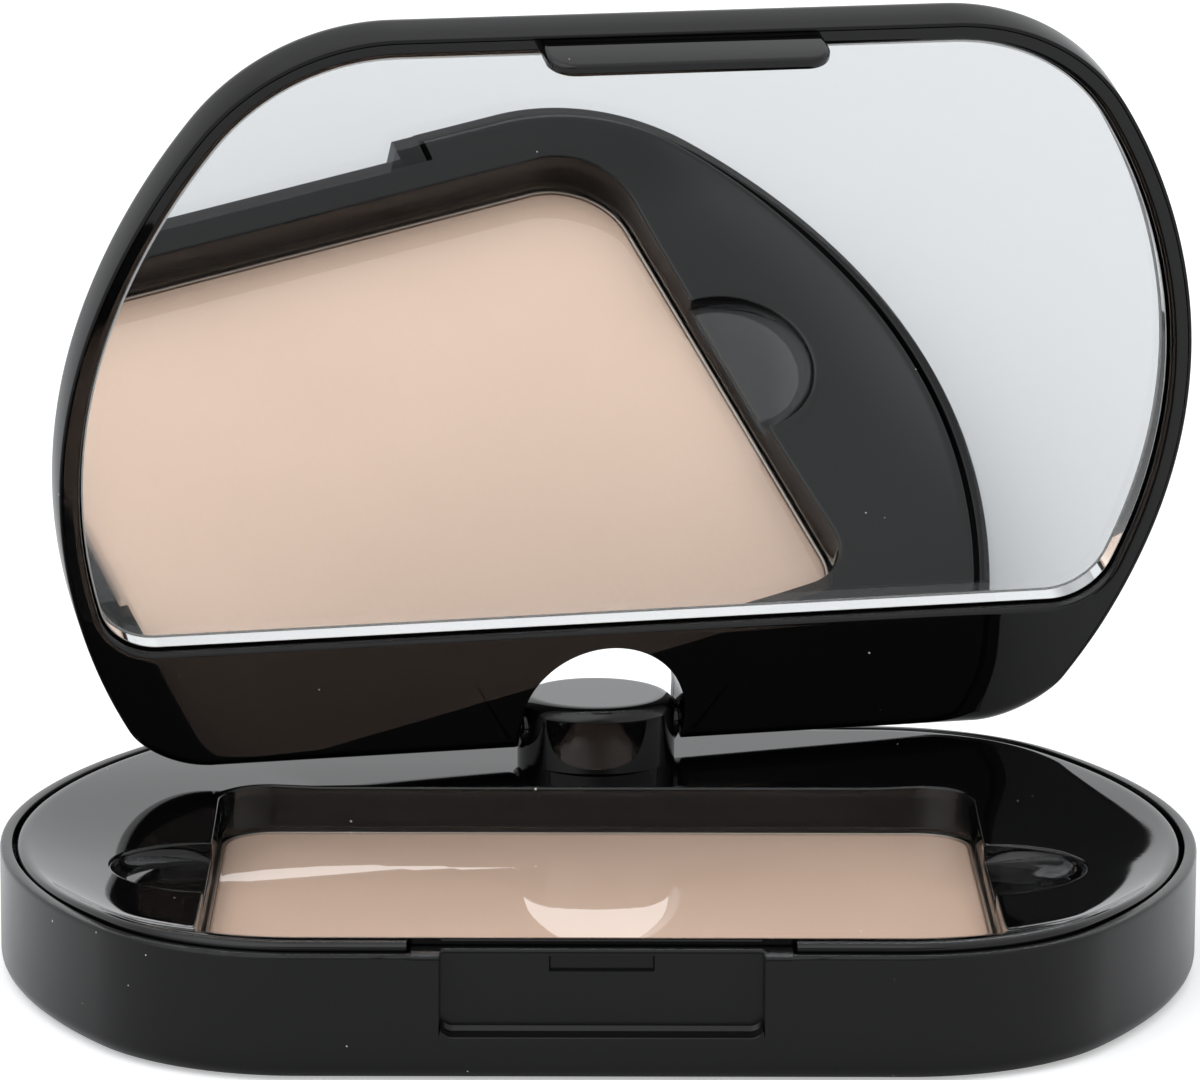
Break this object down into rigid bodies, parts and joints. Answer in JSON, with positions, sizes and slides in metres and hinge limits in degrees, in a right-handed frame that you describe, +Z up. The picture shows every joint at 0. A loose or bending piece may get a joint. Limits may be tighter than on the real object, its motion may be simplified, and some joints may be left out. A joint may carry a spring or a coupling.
{
  "type": "powder compact",
  "caption": "Open black powder compact with pressed powder under a clear lift-out tray and a mirrored lid that tilts on a pin and swivels on a round post.",
  "frame": {"origin": "middle of the flat underside of the base", "axes": "+X along the compact's length, +Y from the front tab to the hinge, +Z up"},
  "size_m": [0.0895, 0.0721, 0.0689],
  "materials": {
    "base_shell": "satin black",
    "deck": "gloss black",
    "pan_adhesive": "tacky sheet",
    "powder_pan": "bright pressed sheet",
    "powder_cake": "pressed beige powder",
    "friction_washer": "plain",
    "clear_tray": "clear formed sheet",
    "swivel_post": "gloss black",
    "retaining_clip": "bright",
    "lid_shell": "satin black",
    "mirror_frame": "gloss black",
    "mirror": "silvered glass",
    "mirror_pad": "foam pad",
    "tilt_pin": "bright"
  },
  "bodies": {
    "base": {"base_shell": "base_shell", "deck": "deck", "pan_adhesive": "pan_adhesive", "powder_pan": "powder_pan", "powder_cake": "powder_cake", "clear_tray": "clear_tray", "friction_washer": "friction_washer"},
    "post": {"swivel_post": "swivel_post", "retaining_clip": "retaining_clip"},
    "lid": {"lid_shell": "lid_shell", "mirror_frame": "mirror_frame", "mirror": "mirror", "mirror_pad": "mirror_pad", "tilt_pin": "tilt_pin"}
  },
  "joints": [
    {"name": "swivel", "type": "hinge", "parent": "base", "child": "post", "pos_m": [0, 0.02663, 0.0089], "axis": [0, 0, 1], "range_deg": [-104.78, 75.22]},
    {"name": "tilt", "type": "hinge", "parent": "post", "child": "lid", "pos_m": [0, 0.02663, 0.01102], "axis": [-0.9669, -0.2552, 0], "range_deg": [-62, 45]}
  ]
}
